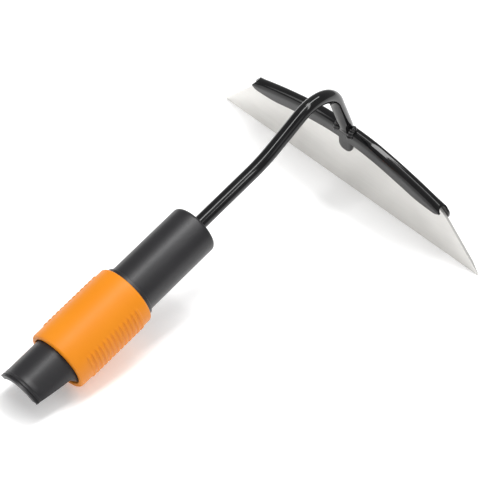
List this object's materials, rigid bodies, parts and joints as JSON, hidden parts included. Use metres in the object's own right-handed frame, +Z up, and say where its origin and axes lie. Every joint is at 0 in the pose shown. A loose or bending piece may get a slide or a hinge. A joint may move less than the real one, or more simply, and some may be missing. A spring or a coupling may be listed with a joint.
{
  "type": "grub hoe",
  "caption": "Grub hoe head: wide blade under a folded steel spine, bent round neck and a plastic quick coupling with a spring-loaded locking sleeve.",
  "frame": {"origin": "on the ground under the middle of the head, as it lies on its cutting edge and sleeve", "axes": "+X from the coupling's tongue towards the blade, +Y to the left seen from the coupling, +Z up"},
  "size_m": [0.3216, 0.2282, 0.1149],
  "materials": {
    "blade_steel": "satin ground steel",
    "black_enamel": "gloss black enamel",
    "body_plastic": "matte moulded charcoal",
    "sleeve_plastic": "satin moulded orange",
    "spring_steel": "plain spring steel",
    "lock_steel": "polished hardened steel"
  },
  "bodies": {
    "head": {"blade": "blade_steel", "spine_channel": "black_enamel", "neck_rod": "black_enamel", "neck_weld_beads": "black_enamel", "connector_body": "body_plastic", "neck_holder": "body_plastic", "neck_pin": "lock_steel", "retaining_ring": "spring_steel", "return_spring": "spring_steel"},
    "sleeve": {"locking_sleeve": "sleeve_plastic", "cam_ring": "lock_steel", "guide_bush": "body_plastic"},
    "ball_top_left": {"latch_ball_top_left": "lock_steel"},
    "ball_top_right": {"latch_ball_top_right": "lock_steel"},
    "ball_bottom": {"latch_ball_bottom": "lock_steel"}
  },
  "joints": [
    {"name": "sleeve_slide", "type": "slide", "parent": "head", "child": "sleeve", "axis": [0.9399, 0, 0.3416], "range_m": [0, 0.012], "stiffness_N_per_m": 800, "springref_m": -0.006, "deforming": ["return_spring"]},
    {"name": "ball_top_left_slide", "type": "slide", "parent": "head", "child": "ball_top_left", "axis": [-0.1708, 0.866, 0.4699], "range_m": [0, 0.00125]},
    {"name": "ball_top_right_slide", "type": "slide", "parent": "head", "child": "ball_top_right", "axis": [-0.1708, -0.866, 0.4699], "range_m": [0, 0.00125]},
    {"name": "ball_bottom_slide", "type": "slide", "parent": "head", "child": "ball_bottom", "axis": [0.3416, 0, -0.9399], "range_m": [0, 0.00125]}
  ],
  "couplings": [
    {"joint": "ball_top_left_slide", "follows": "sleeve_slide", "ratio": 0.10416},
    {"joint": "ball_top_right_slide", "follows": "sleeve_slide", "ratio": 0.10416},
    {"joint": "ball_bottom_slide", "follows": "sleeve_slide", "ratio": 0.10416}
  ]
}
